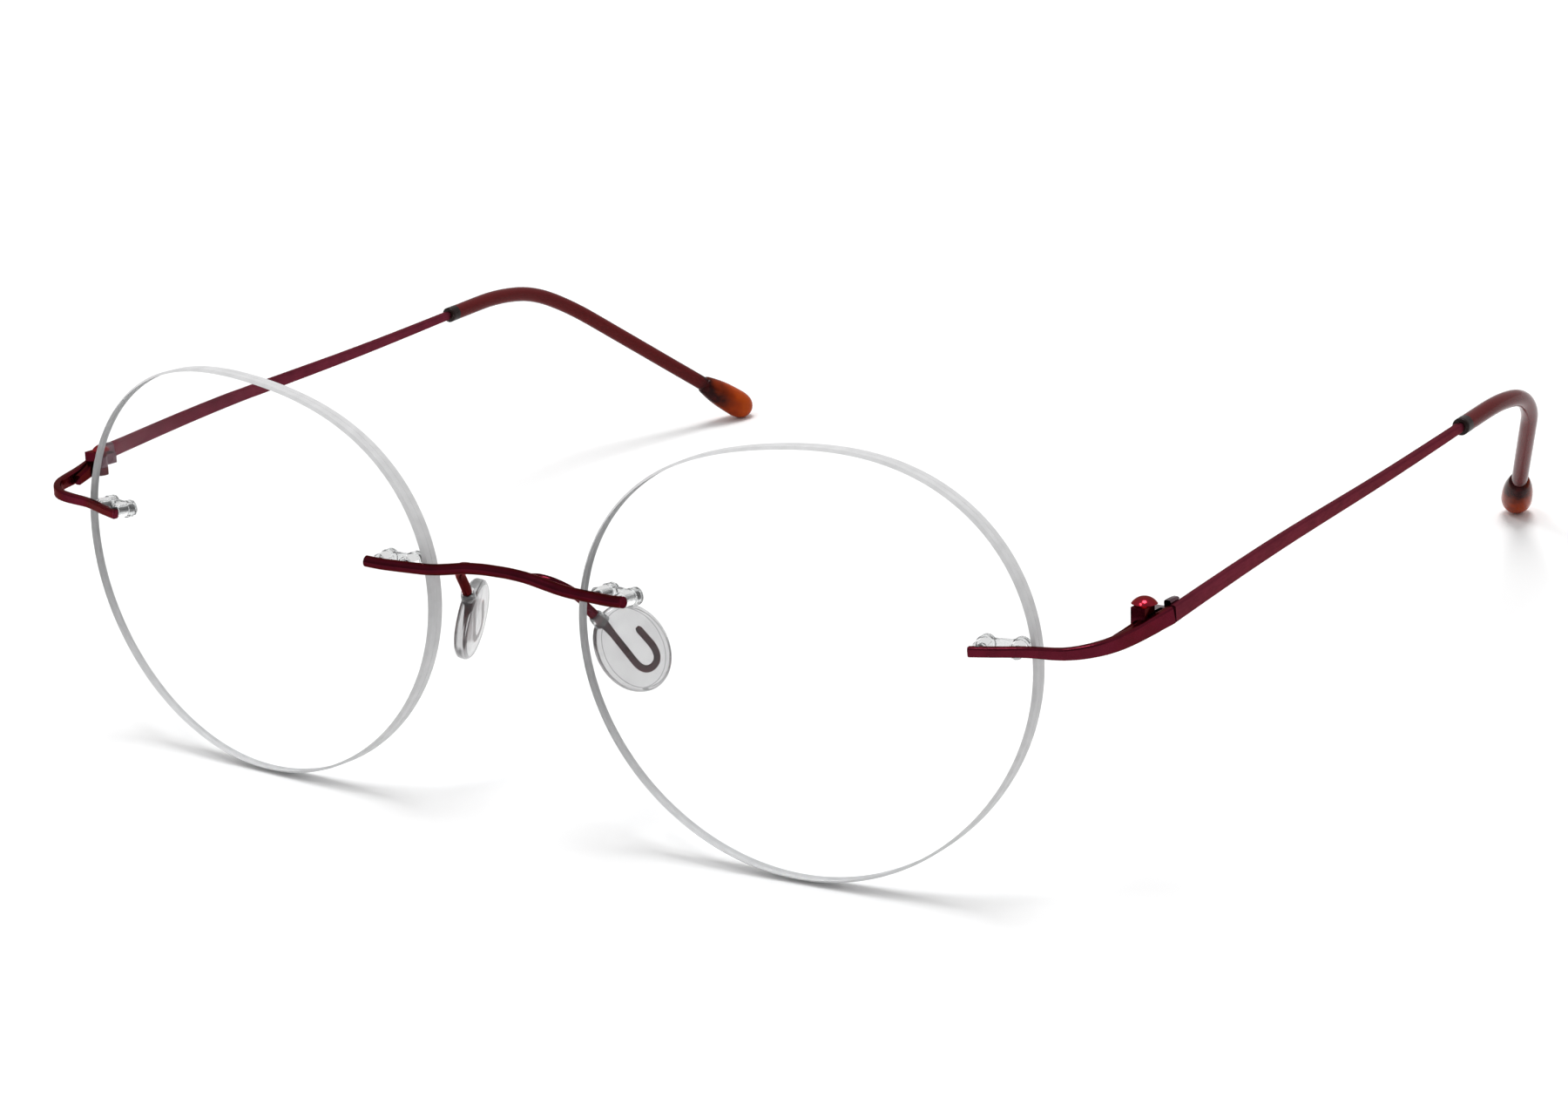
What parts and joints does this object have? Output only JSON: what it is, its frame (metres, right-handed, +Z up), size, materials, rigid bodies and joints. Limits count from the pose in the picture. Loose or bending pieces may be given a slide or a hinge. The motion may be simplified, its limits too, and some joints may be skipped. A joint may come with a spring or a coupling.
{
  "type": "eyeglasses",
  "caption": "Rimless eyeglasses: clear panto lenses, dark red bridge bar, endpieces and folding temples, clear nose pads, amber temple tips.",
  "frame": {"origin": "middle of the bounding box, at the height of the surface that the lens bottoms and temple tips rest on", "axes": "+X to the wearer's left, +Y from the lenses back along the open temples, +Z up"},
  "size_m": [0.1492, 0.132, 0.0462],
  "materials": {
    "lens_clear": "polished",
    "clear_plastic": "gloss",
    "pad_silicone": "satin",
    "frame_metal": "satin",
    "screw_metal": "gloss",
    "tip_plastic": "gloss"
  },
  "bodies": {
    "front": {"bridge_bar": "frame_metal", "lens_left": "lens_clear", "lens_right": "lens_clear", "bridge_pins_left": "frame_metal", "bridge_pins_right": "frame_metal", "nasal_sleeve_left": "clear_plastic", "nasal_sleeve_right": "clear_plastic", "pad_arm_left": "frame_metal", "pad_arm_right": "frame_metal", "nose_pad_left": "pad_silicone", "nose_pad_right": "pad_silicone", "endpiece_left": "frame_metal", "endpiece_right": "frame_metal", "endpiece_pins_left": "frame_metal", "endpiece_pins_right": "frame_metal", "temporal_sleeve_left": "clear_plastic", "temporal_sleeve_right": "clear_plastic", "hinge_front_leaf_left": "frame_metal", "hinge_front_leaf_right": "frame_metal", "hinge_screw_left": "screw_metal", "hinge_screw_right": "screw_metal"},
    "temple_arm_left": {"hinge_temple_leaf_left": "frame_metal", "temple_left": "frame_metal", "temple_tip_left": "tip_plastic"},
    "temple_arm_right": {"hinge_temple_leaf_right": "frame_metal", "temple_right": "frame_metal", "temple_tip_right": "tip_plastic"}
  },
  "joints": [
    {"name": "temple_left_fold", "type": "hinge", "parent": "front", "child": "temple_arm_left", "pos_m": [0.07088, -0.05055, 0.02852], "axis": [0, 0.1034, 0.9946], "range_deg": [0, 84]},
    {"name": "temple_right_fold", "type": "hinge", "parent": "front", "child": "temple_arm_right", "pos_m": [-0.07088, -0.05055, 0.02852], "axis": [0, -0.1034, -0.9946], "range_deg": [0, 88]}
  ]
}
